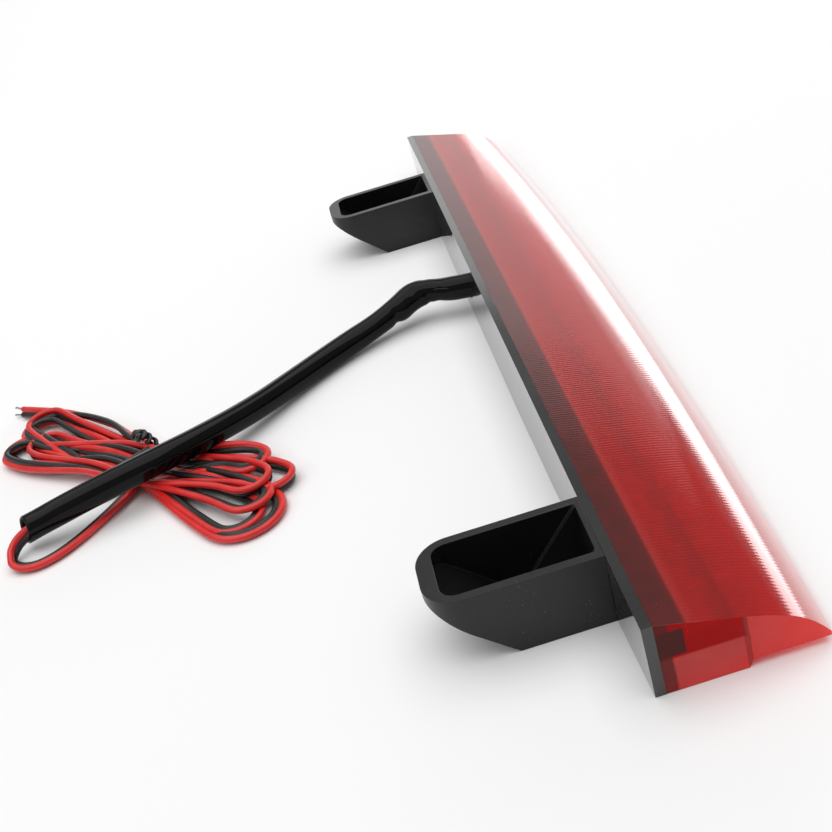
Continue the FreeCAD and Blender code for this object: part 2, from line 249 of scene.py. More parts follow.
# ---------------------------------------------------------------------- finishes
def grey(level: float) -> Colour:
    """A neutral colour."""
    return (level, level, level, 1.0)


@dataclass(frozen=True)
class Moulded:
    """Moulded plastic or rubber with a fine grain, uneven gloss and a little dust."""

    name: str
    shade: Colour
    worn: Colour
    roughness: float
    grain: float
    grain_scale: float = 1500.0
    dust: float = 0.0
    coat: float = 0.0
    shine: float = 0.5

    def material(self) -> bpy.types.Material:
        """Builds the material."""
        graph = Graph(self.name)
        cloud = graph.noise(38.0, 4.0)
        fine = graph.noise(self.grain_scale, 3.0)
        wear = cloud.between(0.35, 0.7) * 0.6 + fine.between(0.45, 0.8) * 0.4
        colour = graph.mix(wear, self.shade, self.worn)
        if self.dust:
            speck = graph.specks(900.0, self.dust, 0.58) * 0.5
            speck = speck.apply("MAXIMUM", graph.specks(2100.0, self.dust * 1.4, 0.62) * 0.3)
            colour = graph.mix(speck, colour, (0.42, 0.41, 0.39, 1.0))
        rough = self.roughness * (0.82 + 0.36 * graph.noise(120.0, 4.0))
        normal = graph.bump(fine + 0.6 * graph.noise(self.grain_scale / 3.5), self.grain)
        return graph.finish({"Base Color": colour, "Roughness": rough, "Normal": normal,
                             "Coat Weight": self.coat, "Coat Roughness": 0.12,
                             "Specular IOR Level": self.shine})


@dataclass(frozen=True)
class RedPlastic:
    """Clear red plastic of the lens, plain or with fine ribs across it.

    Attributes:
        name: The material's name.
        body: Colour of the light that it scatters.
        deep: The same in its darker streaks, and in the painted shade that follows the ribs.
        tint: Colour of the light that passes one skin.
        veil: Share of the light that one skin scatters.
        soft: Share of the rest that comes through blurred.
        roughness: Of its polish.
        rib_pitch: From rib to rib, or zero where it is plain.
        band: Depth of the painted shadow where the housing's lip touches the skin, seen through it, with a
            painted lit line beside it; zero where none is painted.
        mirror: Share of the light that the polish reflects, seen square on.
        glare: Extra share that it reflects on the curve down to the front edge.
    """

    name: str
    body: Colour
    deep: Colour
    tint: Colour
    veil: float
    soft: float
    roughness: float
    rib_pitch: float = 0.0
    band: float = 0.0
    mirror: float = 0.04
    glare: float = 0.0
    # Colour of the painted shadow of the lip.
    painted_lip_shadow: Colour = (0.035, 0.014, 0.013, 1.0)

    def paint(self, graph: Graph, colour: Signal) -> tuple[Signal, Operand, Signal]:
        """Ribs, a wave along X with painted shade in step with it, and the painted shadow of the lip with a
        painted lit line beside it.

        Args:
            graph: The graph.
            colour: The clouded colour.

        Returns:
            Colour, veil and height.
        """
        height = graph.noise(420.0, 2.0) * 0.12
        veil: Operand = self.veil
        along, back, _ = graph.axes(graph.place())
        if self.rib_pitch:
            wave = (along * (2 * math.pi / self.rib_pitch)).apply("SINE") * 0.5 + 0.5
            # Painted shade: the colour darkens in step with the ribs.
            colour = graph.mix(wave * 0.5, colour, self.deep)
            height = height + wave
            veil = self.veil * (0.8 + 0.4 * wave)
        if self.band:
            # Painted shadow of the housing's lip seen through the skin, and a painted lit line beside it.
            inside = back.between(-self.band - 0.0007, -self.band + 0.0004)
            bright = back.between(-self.band - 0.0026, -self.band - 0.0009) - inside
            colour = graph.mix(bright * 0.5, colour, (0.9, 0.12, 0.1, 1.0))
            colour = graph.mix(inside * (0.8 + 0.15 * graph.noise(160.0, 3.0)), colour, self.painted_lip_shadow)
            veil = veil + inside * 0.5
        return colour, veil, height

    def material(self) -> bpy.types.Material:
        """Builds the material, under a gloss with Schlick's share: mirror + (1 - mirror) * (1 - cos)^5."""
        graph = Graph(self.name)
        cloud = graph.noise(26.0, 3.0, (0.35, 1.0, 1.0))
        streak = graph.noise(160.0, 3.0, (0.08, 1.0, 1.0))
        depth = cloud.between(0.3, 0.75) * 0.7 + streak.between(0.4, 0.8) * 0.3
        colour = graph.mix(depth, self.body, self.deep)
        colour, veil, height = self.paint(graph, colour)
        colour = graph.mix(graph.specks(900.0, 0.06, 0.62) * 0.5, colour, (0.95, 0.62, 0.58, 1.0))
        rough = self.roughness * (0.7 + 0.6 * graph.noise(90.0, 4.0))
        normal = graph.bump(height, 0.000008)
        haze = graph.signal("ShaderNodeBsdfPrincipled", inputs={
            "Base Color": colour, "Roughness": 0.6, "Specular IOR Level": 0.0, "Normal": normal})
        clear = graph.signal("ShaderNodeBsdfTransparent", inputs={"Color": self.tint})
        if self.soft:
            blurred = graph.signal("ShaderNodeBsdfTranslucent", inputs={"Color": self.tint})
            clear = graph.signal("ShaderNodeMixShader", inputs={0: self.soft, 1: clear, 2: blurred})
        skin = graph.signal("ShaderNodeMixShader", inputs={0: veil, 1: clear, 2: haze})
        polish = graph.signal("ShaderNodeBsdfGlossy", inputs={
            "Color": grey(1.0), "Roughness": rough, "Normal": normal})
        facing = graph.signal("ShaderNodeLayerWeight", inputs={"Blend": 0.5}, output="Facing")
        share = self.mirror + (1.0 - self.mirror) * facing.apply("POWER", 5.0)
        if self.glare:
            share = share + graph.axes(graph.place())[1].between(-0.028, -0.041, 0.0, self.glare)
        return graph.end(graph.signal("ShaderNodeMixShader", inputs={0: share, 1: skin, 2: polish}))


@dataclass(frozen=True)
class EndPlastic(RedPlastic):
    """The lens's end wall, with painted light and shade for what it shows of the inside.

    Attributes:
        level: Height of the board: below it the wall keeps its clouded colour as painted light, above it a
            deep red of painted shade.
        pillar: Front and rear of the painted shade of the pillar where the underside steps up.
        rim: Front edge of the painted shade of the rim, which reaches back to the parting plane.
        latch: Front, foot and top of the painted shade of the corner latch of the lip.
        upper: Colour above the board, painted shade.
        shadow: Colour of the painted shadow on the rim, the latch and the pillar.
    """

    level: float = 0.0094
    pillar: tuple[float, float] = (-0.0203, -0.0190)
    rim: float = -0.0030
    latch: tuple[float, float, float] = (-0.0062, 0.0102, 0.0172)
    upper: Colour = (0.44, 0.0, 0.0, 1.0)
    shadow: Colour = (0.055, 0.016, 0.014, 1.0)

    def paint(self, graph: Graph, colour: Signal) -> tuple[Signal, Operand, Signal]:
        """Paints what the thick, cloudy end shows of the inside: painted light below the board and in front
        of the pillar, painted shade above it and on the rim, the latch and the pillar.

        Args:
            graph: The graph.
            colour: The clouded colour.

        Returns:
            Colour, veil and height.
        """
        _, back, up = graph.axes(graph.place())
        # Painted light below the board and in front of the pillar; painted shade above it.
        front = back.between(self.pillar[1], self.pillar[0])
        low = up.between(self.level + 0.0004, self.level - 0.0004).apply("MAXIMUM", front)
        colour = graph.mix(low, self.upper, colour)
        # Painted shade where the rim, the latch and the pillar show through.
        soft_edge = 0.0007 * (graph.noise(500.0, 3.0) - 0.5)
        post = (back + soft_edge > self.pillar[0]) * (back + soft_edge < self.pillar[1])
        rim = (back + soft_edge).between(self.rim - 0.0003, self.rim + 0.0003)
        latch = (back > self.latch[0]) * (up > self.latch[1]) * (up < self.latch[2])
        dark = (rim * 0.8).apply("MAXIMUM", latch * 0.95).apply("MAXIMUM", post * 0.55)
        colour = graph.mix(dark, colour, self.shadow)
        return colour, self.veil + 0.3 * (1.0 - low) + dark * 0.2, graph.noise(420.0, 2.0) * 0.12


@dataclass(frozen=True)
class Paired:
    """Soft insulation of a two-core pair: one core red, one black, split by the UV map's first number."""

    name: str
    red: Colour
    red_worn: Colour
    black: Colour
    black_worn: Colour

    def material(self) -> bpy.types.Material:
        """Builds the material."""
        graph = Graph(self.name)
        around, along, _ = graph.axes(graph.signal("ShaderNodeTexCoord", output="UV"))
        cloud = graph.noise(110.0, 4.0).between(0.35, 0.7)
        handled = (graph.noise(620.0, 3.0) > 0.66) * 0.35
        red = graph.mix(cloud, self.red, self.red_worn)
        black = graph.mix(cloud * 0.7 + handled, self.black, self.black_worn)
        colour = graph.mix(around > 0.5, red, black)
        draw_lines = (along * 2600.0 + graph.noise(300.0) * 5.0).apply("SINE") * 0.12
        normal = graph.bump(draw_lines + graph.noise(900.0, 3.0), 0.00003)
        rough = 0.24 + 0.2 * graph.noise(240.0, 4.0)
        return graph.finish({"Base Color": colour, "Roughness": rough, "Normal": normal})


@dataclass(frozen=True)
class Metal:
    """Plated or tinned metal with fine scratches and dull patches."""

    name: str
    bright: Colour
    dull: Colour
    roughness: float

    def material(self) -> bpy.types.Material:
        """Builds the material."""
        graph = Graph(self.name)
        patch = graph.noise(700.0, 5.0).between(0.4, 0.7)
        scratch = graph.noise(2600.0, 2.0, (1.0, 0.08, 1.0))
        colour = graph.mix(patch, self.bright, self.dull)
        rough = self.roughness * (0.6 + 0.8 * patch)
        return graph.finish({"Base Color": colour, "Roughness": rough, "Metallic": 1.0,
                             "Normal": graph.bump(scratch, 0.00001)})


@dataclass(frozen=True)
class Board:
    """Bare cream laminate above, green solder mask with raised copper tracks below."""

    name: str = "board_cream"
    bare: Colour = (0.60, 0.52, 0.34, 1.0)
    stained: Colour = (0.42, 0.33, 0.19, 1.0)
    mask: Colour = (0.012, 0.10, 0.032, 1.0)
    track: Colour = (0.028, 0.19, 0.06, 1.0)
    pitch: float = 0.0035
    top: float = 0.0091

    def material(self) -> bpy.types.Material:
        """Builds the material: tracks are bands along X and, at each LED pitch, across it."""
        graph = Graph(self.name)
        x, y, z = graph.axes(graph.place())
        along = (y * (2 * math.pi / self.pitch) + graph.noise(60.0) * 1.5).apply("SINE") > 0.25
        across = (x * (2 * math.pi / 0.014)).apply("SINE") > 0.93
        line = along.apply("MAXIMUM", across)
        solder_side = graph.mix(line, self.mask, self.track)
        solder_side = graph.mix(graph.noise(180.0, 4.0).between(0.55, 0.8) * 0.4, solder_side, grey(0.02))
        fibre = graph.noise(900.0, 3.0, (1.0, 0.25, 1.0)).between(0.4, 0.7) * 0.5
        stain = graph.noise(70.0, 3.0).between(0.5, 0.75) * 0.4
        part_side = graph.mix(fibre + stain, self.bare, self.stained)
        upper = z > self.top
        colour = graph.mix(upper, solder_side, part_side)
        rough = 0.22 + 0.2 * graph.noise(200.0, 3.0) + upper * 0.25
        height = line * (1.0 - upper) + 0.3 * graph.noise(1200.0)
        return graph.finish({"Base Color": colour, "Roughness": rough, "Normal": graph.bump(height, 0.00004)})


@dataclass(frozen=True)
class Epoxy:
    """Red tinted epoxy of the LEDs, with paler clouds in it."""

    name: str = "led_red"
    tint: Colour = (0.62, 0.02, 0.018, 1.0)
    core: Colour = (0.85, 0.22, 0.16, 1.0)

    def material(self) -> bpy.types.Material:
        """Builds the material."""
        graph = Graph(self.name)
        colour = graph.mix(graph.noise(500.0, 3.0).between(0.35, 0.7) * 0.5, self.tint, self.core)
        return graph.finish({"Base Color": colour, "Roughness": 0.08 + 0.12 * graph.noise(300.0, 3.0),
                             "Normal": graph.bump(graph.noise(400.0, 2.0), 0.00003), "Coat Weight": 0.6})


@dataclass(frozen=True)
class Banded:
    """Body of an axial part with painted bands, repeated along X at the part's pitch."""

    name: str
    body: Colour
    bands: tuple[tuple[float, Colour], ...]
    centre: float
    pitch: float
    band_width: float = 0.0006

    def material(self) -> bpy.types.Material:
        """Builds the material: a band lies where the distance along the part is within half its width."""
        graph = Graph(self.name)
        x, _, _ = graph.axes(graph.place())
        turns = (x - self.centre) / self.pitch
        local = (turns - (turns + 0.5).apply("FLOOR")) * self.pitch
        colour = graph.mix(graph.noise(600.0, 3.0), self.body, tuple(0.8 * c for c in self.body[:3]) + (1.0,))
        for place, shade in self.bands:
            inside = (local - place).apply("ABSOLUTE") < self.band_width / 2
            colour = graph.mix(inside, colour, shade)
        return graph.finish({"Base Color": colour, "Roughness": 0.3 + 0.25 * graph.noise(500.0, 3.0),
                             "Normal": graph.bump(graph.noise(900.0, 3.0), 0.00003)})


class Finish(Enum):
    """The finishes of the lamp."""

    HOUSING = Moulded("black_housing", grey(0.012), (0.032, 0.031, 0.029, 1.0), 0.12, 0.000006,
                      dust=0.07, coat=0.6)
    FOOT = Moulded("black_foot", (0.0045, 0.0042, 0.0042, 1.0), (0.015, 0.0138, 0.0135, 1.0), 0.32, 0.00002,
                   dust=0.08, shine=0.42)
    SEAL = Moulded("seal_rubber", grey(0.01), grey(0.03), 0.7, 0.00003)
    HOLDER = Moulded("holder_black", (0.012, 0.008, 0.008, 1.0), (0.04, 0.03, 0.03, 1.0), 0.5, 0.00002)
    DIODE = Banded("diode_body", (0.012, 0.012, 0.013, 1.0), ((0.0019, grey(0.5)),), 0.042, 0.5, 0.0007)
    RESISTOR = Banded("resistor_body", (0.62, 0.44, 0.26, 1.0),
                      ((-0.002, (0.3, 0.09, 0.02, 1.0)), (-0.0009, grey(0.01)),
                       (0.0002, (0.45, 0.02, 0.01, 1.0)), (0.002, (0.55, 0.36, 0.07, 1.0))), -0.147, 0.042)
    SLEEVE = Moulded("sleeve_pvc", grey(0.002), grey(0.005), 0.07, 0.000010, grain_scale=260.0,
                     dust=0.03, shine=0.15)
    TIE = Moulded("twist_tie_black", grey(0.008), grey(0.03), 0.35, 0.00003)
    NYLON = Moulded("tie_nylon", (0.6, 0.58, 0.5, 1.0), (0.7, 0.68, 0.6, 1.0), 0.4, 0.00002)
    CORE_BLACK = Moulded("core_black", grey(0.008), grey(0.02), 0.3, 0.00002)
    CORE_RED = Moulded("core_red", (0.5, 0.012, 0.01, 1.0), (0.62, 0.03, 0.025, 1.0), 0.3, 0.00002)
    PAIR = Paired("wire_pair", (0.62, 0.012, 0.012, 1.0), (0.74, 0.035, 0.03, 1.0), grey(0.006), grey(0.022))
    # 0.0072 places the painted shadow of the lip and its painted lit line.
    LENS_ROOF = RedPlastic("red_lens", (0.66, 0.045, 0.038, 1.0), (0.45, 0.02, 0.017, 1.0),
                           (0.96, 0.16, 0.15, 1.0), 0.24, 0.0, 0.1, 0.0012, 0.0072, glare=0.4)
    LENS_RIBS = RedPlastic("red_lens_ribs", (0.66, 0.035, 0.03, 1.0), (0.42, 0.012, 0.01, 1.0),
                           (0.96, 0.1, 0.09, 1.0), 0.3, 0.5, 0.12, 0.0012)
    LENS_PLAIN = RedPlastic("red_lens_plain", (0.66, 0.03, 0.028, 1.0), (0.5, 0.014, 0.014, 1.0),
                            (0.98, 0.36, 0.34, 1.0), 0.05, 0.0, 0.05)
    # Its clouded colour is the painted light below the board; above it lies painted shade.
    LENS_END = EndPlastic("red_lens_end", (0.98, 0.14, 0.13, 1.0), (0.9, 0.08, 0.075, 1.0),
                          (0.97, 0.2, 0.19, 1.0), 0.5, 0.0, 0.1, mirror=0.01)
    STEEL = Metal("screw_steel", grey(0.55), grey(0.3), 0.32)
    SOLDER = Metal("solder", grey(0.68), grey(0.42), 0.26)
    BOARD = Board()
    LED = Epoxy()


_MADE: dict[str, bpy.types.Material] = {}


def material_of(finish: Finish) -> bpy.types.Material:
    """Builds a finish's material once.

    Args:
        finish: The finish.

    Returns:
        Its material.
    """
    if finish.name not in _MADE:
        _MADE[finish.name] = finish.value.material()
    return _MADE[finish.name]


# ------------------------------------------------------------------ shape helpers
def unit(vectors: np.ndarray) -> np.ndarray:
    """Vectors of length one."""
    return vectors / np.linalg.norm(vectors, axis=-1, keepdims=True)


def bell(values: np.ndarray, centre: float, width: float) -> np.ndarray:
    """Gaussian bump: exp(-((value - centre) / width) squared)."""
    return np.exp(-((values - centre) / width) ** 2)


class Shell:
    """Collects grids of points and turns them into one closed mesh."""

    def __init__(self) -> None:
        """Starts empty."""
        self.points: list[np.ndarray] = []
        self.faces: list[np.ndarray] = []
        self.zones: list[np.ndarray] = []
        self.count = 0

    def add(self, grid: np.ndarray, zone: int = 0, wrap: bool = False) -> None:
        """Adds a grid of quads.

        Args:
            grid: Points, shaped (rows, columns, 3).
            zone: Material slot of its faces.
            wrap: Joins the last column to the first.
        """
        rows, columns, _ = grid.shape
        index = np.arange(rows * columns).reshape(rows, columns) + self.count
        right = np.roll(index, -1, axis=1) if wrap else index[:, 1:]
        left = index if wrap else index[:, :-1]
        quads = np.stack([left[:-1], right[:-1], right[1:], left[1:]], axis=-1).reshape(-1, 4)
        self.points.append(grid.reshape(-1, 3))
        self.faces.append(quads)
        self.zones.append(np.full(len(quads), zone))
        self.count += rows * columns

    def build(self, name: str, finishes: Sequence[Finish], sharp: float = 35.0,
              merge: float = 1e-6) -> bpy.types.Object:
        """Makes the object, with doubles merged and faces outwards.

        Args:
            name: The piece's name.
            finishes: Its materials, by zone.
            sharp: Edges above this angle, in degrees, stay sharp.
            merge: Points nearer than this are one.

        Returns:
            The new object.
        """
        mesh = bpy.data.meshes.new(name)
        mesh.from_pydata(np.concatenate(self.points).tolist(), [], np.concatenate(self.faces).tolist())
        mesh.polygons.foreach_set("material_index", np.concatenate(self.zones).astype(np.int32))
        work = bmesh.new()
        work.from_mesh(mesh)
        bmesh.ops.remove_doubles(work, verts=work.verts, dist=merge)
        bmesh.ops.dissolve_degenerate(work, edges=work.edges, dist=merge / 2)
        bmesh.ops.recalc_face_normals(work, faces=work.faces)
        work.to_mesh(mesh)
        work.free()
        return placed(name, mesh, finishes, sharp)


def placed(name: str, mesh: bpy.types.Mesh, finishes: Sequence[Finish],
           sharp: float = 35.0) -> bpy.types.Object:
    """Puts a mesh in the scene as an object at the origin, smooth but for its sharp edges.

    Args:
        name: The piece's name.
        mesh: Its mesh.
        finishes: Its materials, by slot.
        sharp: Edges above this angle, in degrees, stay sharp.

    Returns:
        The new object.
    """
    for finish in finishes:
        mesh.materials.append(material_of(finish))
    mesh.polygons.foreach_set("use_smooth", np.ones(len(mesh.polygons), bool))
    mesh.set_sharp_from_angle(angle=math.radians(sharp))
    mesh.update()
    made = bpy.data.objects.new(name, mesh)
    bpy.context.scene.collection.objects.link(made)
    return made


def settle(piece: bpy.types.Object, nodes: Sequence[str] = ()) -> bpy.types.Object:
    """Rides a piece on the lamp and the nodes that it stands for, and logs it.

    Args:
        piece: The piece.
        nodes: CAD nodes that it replaces.

    Returns:
        The piece.
    """
    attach(piece, BODY)
    if nodes:
        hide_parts(*nodes)
    faces = len(piece.data.polygons)
    LOG.info("%s: %d faces, stands for %s", piece.name, faces, ", ".join(nodes) or "nothing")
    return piece


def bevelled(piece: bpy.types.Object, radius: float, angle: float = 38.0, segments: int = 2) -> None:
    """Rounds a piece's edges.

    Args:
        piece: The piece.
        radius: Width of the rounding, in metres.
        angle: Edges above this angle, in degrees, are rounded.
        segments: Faces across the rounding.
    """
    made = piece.modifiers.new("rounding", "BEVEL")
    made.width = radius
    made.segments = segments
    made.limit_method = "ANGLE"
    made.angle_limit = math.radians(angle)
    made.harden_normals = False


def softened(node: str, name: str, finish: Finish, radius: float) -> bpy.types.Object:
    """Copies a CAD node with its doubles merged, its flat faces cleared of inner edges and its edges rounded.

    Args:
        node: The CAD node.
        name: The new piece's name.
        finish: Its material.
        radius: Rounding of its edges, in metres.

    Returns:
        The new piece.
    """
    work = bmesh.new()
    work.from_mesh(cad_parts[node].data)
    bmesh.ops.remove_doubles(work, verts=work.verts, dist=1e-6)
    bmesh.ops.dissolve_limit(work, angle_limit=math.radians(0.5), verts=work.verts, edges=work.edges)
    for face in work.faces:
        face.material_index = 0
    mesh = bpy.data.meshes.new(name)
    work.to_mesh(mesh)
    work.free()
    piece = placed(name, mesh, [finish], 30.0)
    bevelled(piece, radius)
    return piece


def spline_line(name: str, route: Sequence[Point], steps: int = 12) -> np.ndarray:
    """Points of a smooth curve whose control points are the route.

    Args:
        name: Name of the passing curve.
        route: Control points, in metres.
        steps: Points for each span.

    Returns:
        The curve's points, in metres.
    """
    data = bpy.data.curves.new(name, "CURVE")
    data.dimensions = "3D"
    spline = data.splines.new("NURBS")
    spline.points.add(len(route) - 1)
    spline.points.foreach_set("co", np.c_[np.asarray(route), np.ones(len(route))].ravel())
    spline.order_u = 3
    spline.use_endpoint_u = True
    spline.resolution_u = steps
    carrier = bpy.data.objects.new(name, data)
    mesh = bpy.data.meshes.new_from_object(carrier)
    line = np.empty(len(mesh.vertices) * 3)
    mesh.vertices.foreach_get("co", line)
    bpy.data.objects.remove(carrier)
    bpy.data.meshes.remove(mesh)
    return line.reshape(-1, 3)


def lengths_along(line: np.ndarray) -> np.ndarray:
    """Distance from the line's start to each of its points."""
    return np.r_[0.0, np.cumsum(np.linalg.norm(np.diff(line, axis=0), axis=1))]


def evenly(line: np.ndarray, step: float) -> np.ndarray:
    """The same line with points a step apart."""
    at = lengths_along(line)
    wanted = np.linspace(0.0, at[-1], int(at[-1] / step) + 1)
    return np.stack([np.interp(wanted, at, line[:, axis]) for axis in range(3)], axis=1)


def swept(line: np.ndarray, outline: np.ndarray, turn: Optional[np.ndarray] = None) -> np.ndarray:
    """Carries an outline along a line: line + side * a + lift * b, with side level and square to the line.

    Args:
        line: Points of the line, (n, 3).
        outline: Section points (a, b), (m, 2) or (n, m, 2).
        turn: Angle that each section is turned by, (n,).

    Returns:
        Grid of points, (n, m, 3).
    """
    along = unit(np.gradient(line, axis=0))
    side = unit(np.cross(along, (0.0, 0.0, 1.0)))
    lift = np.cross(side, along)
    section = np.broadcast_to(outline, (len(line),) + outline.shape[-2:])
    a, b = section[..., 0], section[..., 1]
    if turn is not None:
        c, s = np.cos(turn)[:, None], np.sin(turn)[:, None]
        a, b = a * c - b * s, a * s + b * c
    return line[:, None] + side[:, None] * a[..., None] + lift[:, None] * b[..., None]


def ring(count: int) -> np.ndarray:
    """Angles of evenly spaced points round a circle."""
    return np.linspace(0.0, 2 * math.pi, count, endpoint=False)


def domed(grid: np.ndarray, shares: Sequence[float] = (0.8, 0.45, 0.0)) -> np.ndarray:
    """Closes both ends of a swept grid with flat caps of shrinking rings."""
    def cap(row: np.ndarray) -> list[np.ndarray]:
        """Rings from the outline in to its middle."""
        middle = row.mean(axis=0)
        return [middle + (row - middle) * share for share in shares]
    return np.stack(cap(grid[0])[::-1] + list(grid) + cap(grid[-1]))


# ------------------------------------------------------------------------ studio
@dataclass
class Studio:
    """Camera, floor, lights and the light of the room."""

    eye: Point = (-0.3716, 0.0323, 0.1982)
    right: Point = (-0.1720, -0.9552, -0.2407)
    up: Point = (0.4697, -0.2943, 0.8323)
    back: Point = (-0.8659, 0.0301, 0.4993)
    lens: float = 52.75
    shift: tuple[float, float] = (-0.0502, -0.0264)
    room: float = 0.34
    floor_half: float = 4.0
    floor_drop: float = 0.00004

    def camera(self) -> None:
        """Places the camera."""
        data = bpy.data.cameras.new("camera")
        data.lens = self.lens
        data.shift_x, data.shift_y = self.shift
        data.clip_start = 0.01
        view = bpy.data.objects.new("camera", data)
        turned = Matrix((self.right, self.up, self.back)).transposed().to_4x4()
        view.matrix_world = Matrix.Translation(self.eye) @ turned
        bpy.context.scene.collection.objects.link(view)
        bpy.context.scene.camera = view

    def floor(self) -> None:
        """Lays the pale floor."""
        graph = Graph("floor_pale")
        cloud = graph.noise(3.0, 3.0)
        material = graph.finish({"Base Color": graph.mix(cloud * 0.4, grey(0.93), grey(0.9)),
                                 "Roughness": 0.7 + 0.1 * cloud, "Specular IOR Level": 0.1})
        half, drop = self.floor_half, self.floor_drop
        mesh = bpy.data.meshes.new("floor")
        corners = [(-half, -half, -drop), (half, -half, -drop), (half, half, -drop), (-half, half, -drop)]
        mesh.from_pydata(corners, [], [(0, 1, 2, 3)])
        mesh.materials.append(material)
        plane = bpy.data.objects.new("floor", mesh)
        bpy.context.scene.collection.objects.link(plane)

    def lamp(self, name: str, place: Point, target: Point, size: tuple[float, float], power: float) -> None:
        """Adds one soft box.

        Args:
            name: Its name.
            place: Where it stands.
            target: The point that it faces.
            size: Width and height, in metres.
            power: Watts.
        """
        data = bpy.data.lights.new(name, "AREA")
        data.shape = "RECTANGLE"
        data.size, data.size_y = size
        data.energy = power
        box = bpy.data.objects.new(name, data)
        facing = unit(np.subtract(place, target))
        upright = abs(facing[2]) > 0.999
        level = np.array((1.0, 0.0, 0.0)) if upright else unit(np.cross((0.0, 0.0, 1.0), facing))
        turned = Matrix((level, np.cross(facing, level), facing)).transposed().to_4x4()
        box.matrix_world = Matrix.Translation(place) @ turned
        bpy.context.scene.collection.objects.link(box)

    def lights(self) -> None:
        """Adds the soft boxes and the room's own light."""
        self.lamp("softbox_top", (0.2, 0.1, 2.0), (0.2, 0.1, 0.0), (3.0, 3.0), 44.0)
        self.lamp("softbox_far", (1.9, -0.2, 0.42), (0.0, 0.0, 0.1), (2.0, 1.0), 5.8)
        self.lamp("softbox_side", (1.35, -1.05, 0.19), (0.0, 0.0, 0.05), (1.5, 0.38), 6.0)
        self.lamp("strip_left", (-0.5, 1.3, 0.9), (0.0, 0.1, 0.0), (1.6, 0.12), 2.6)
        world = bpy.data.worlds.new("room")
        world.use_nodes = True
        sky = world.node_tree.nodes["Background"]
        sky.inputs["Color"].default_value = (1.0, 1.0, 1.0, 1.0)
        sky.inputs["Strength"].default_value = self.room
        bpy.context.scene.world = world
        bpy.context.scene.view_settings.view_transform = "Standard"

    def build(self) -> None:
        """Builds the studio."""
        self.camera()
        self.floor()
        self.lights()


# ------------------------------------------------------------------------- cable
@dataclass
class CableSleeve:
    """Soft PVC sleeve from the housing to its cut open end, with a kink near the lamp."""

    route: tuple[Point, ...] = (
        (0.026, -0.006, 0.0102), (0.0268, 0.0075, 0.0103), (0.0325, 0.0185, 0.0108), (0.0305, 0.0290, 0.0088),
        (0.0260, 0.0400, 0.0062), (0.0195, 0.054, 0.0047), (0.0065, 0.071, 0.0048), (-0.008, 0.086, 0.0064),
        (-0.023, 0.103, 0.0096), (-0.034, 0.120, 0.012), (-0.039, 0.137, 0.0112), (-0.0413, 0.150, 0.0095),
        (-0.042, 0.161, 0.0072))
    exit: Point = (0.026, 0.0047, 0.0102)
    radius: float = 0.0042
    swell: float = 1.05
    wall: float = 0.0006
    open_depth: float = 0.014
    slant: float = 0.0026
    slant_side: float = 2.36
    length: float = 0.187
    around: int = 40

    def section_scale(self, along: np.ndarray, angle: np.ndarray) -> np.ndarray:
        """Radius at each place as a share of the plain radius.

        The sleeve is drawn in near the housing, swells into a knuckle on the outside of the kink, is creased
        on its inside and then keeps small lasting waves.

        Args:
            along: Distance from the start, (n, 1).
            angle: Angle round the section, (1, m).

        Returns:
            Scale, (n, m).
        """
        outer = (1 + np.cos(angle - 1.0)) / 2
        inner = (1 + np.cos(angle - 1.0 - math.pi)) / 2
        drawn = 0.10 * bell(along, 0.0215, 0.0034) + 0.04 * bell(along, 0.048, 0.007)
        knuckle = 0.27 * bell(along, 0.0310, 0.0056) * outer + 0.16 * bell(along, 0.0370, 0.0034) * inner
        crease = 0.14 * bell(along, 0.0412, 0.0015) * inner
        crease = crease + 0.09 * bell(along, 0.0255, 0.0012) * (1 - outer * 0.5)
        fold = 0.13 * bell(along, 0.0305, 0.0019) * bell(angle, 2.2, 0.55)
        waves = 0.004 * np.sin(along / 0.0055 + 1.3 * np.sin(angle)) * bell(along, 0.03, 0.016)
        slack = 0.004 * np.sin(along / 0.0171 + angle) + 0.004 * np.cos(along / 0.011)
        flare = 0.03 * bell(along, 0.186, 0.004) * np.cos(2 * angle)
        return self.swell - drawn + knuckle - crease - fold + waves + slack + flare

    def build(self) -> bpy.types.Object:
        """Builds the sleeve: the outside, the rounded cut edge, and the bore back to its blind end."""
        line = evenly(spline_line("sleeve_line", self.route, 24), 0.0007)
        along = lengths_along(line)[:, None]
        angle = ring(self.around)[None, :]
        scale = self.section_scale(along, angle)
        circle = np.stack([np.cos(angle[0]), np.sin(angle[0])], axis=-1)
        end = unit(line[-1] - line[-3])
        late = np.clip((along - along[-1, 0] + self.open_depth) / self.open_depth, 0.0, 1.0)
        cut = -self.slant * late * np.cos(angle - self.slant_side)
        outside = swept(line, circle * (scale * self.radius)[..., None]) + cut[..., None] * end
        deep = along[:, 0] > along[-1, 0] - self.open_depth
        bore = (swept(line[deep], circle * (scale[deep] * self.radius - self.wall)[..., None])
                + cut[deep][..., None] * end)[::-1]
        edge = (outside[-1] + bore[0]) / 2 + end * self.wall * 0.5
        start = outside[0].mean(axis=0)
        blind = bore[-1].mean(axis=0)
        starts = [start + (outside[0] - start) * share for share in (0.0, 0.5)]
        blinds = [blind + (bore[-1] - blind) * share for share in (0.5, 0.0)]
        shell = Shell()
        shell.add(np.stack(starts + list(outside) + [edge] + list(bore) + blinds), wrap=True)
        piece = settle(shell.build("pvc_sleeve", [Finish.SLEEVE], 60.0), ["cable_sleeve"])
        return piece


@dataclass(frozen=True)
class Lobe:
    """One end of one turn of the hank.

    Attributes:
        reach: Distance from the waist to its tip.
        middle: How far its middle line lies across the hank.
        half: Half its width, which is its fold's radius.
        height: Height of its fold.
    """

    reach: float
    middle: float
    half: float
    height: float


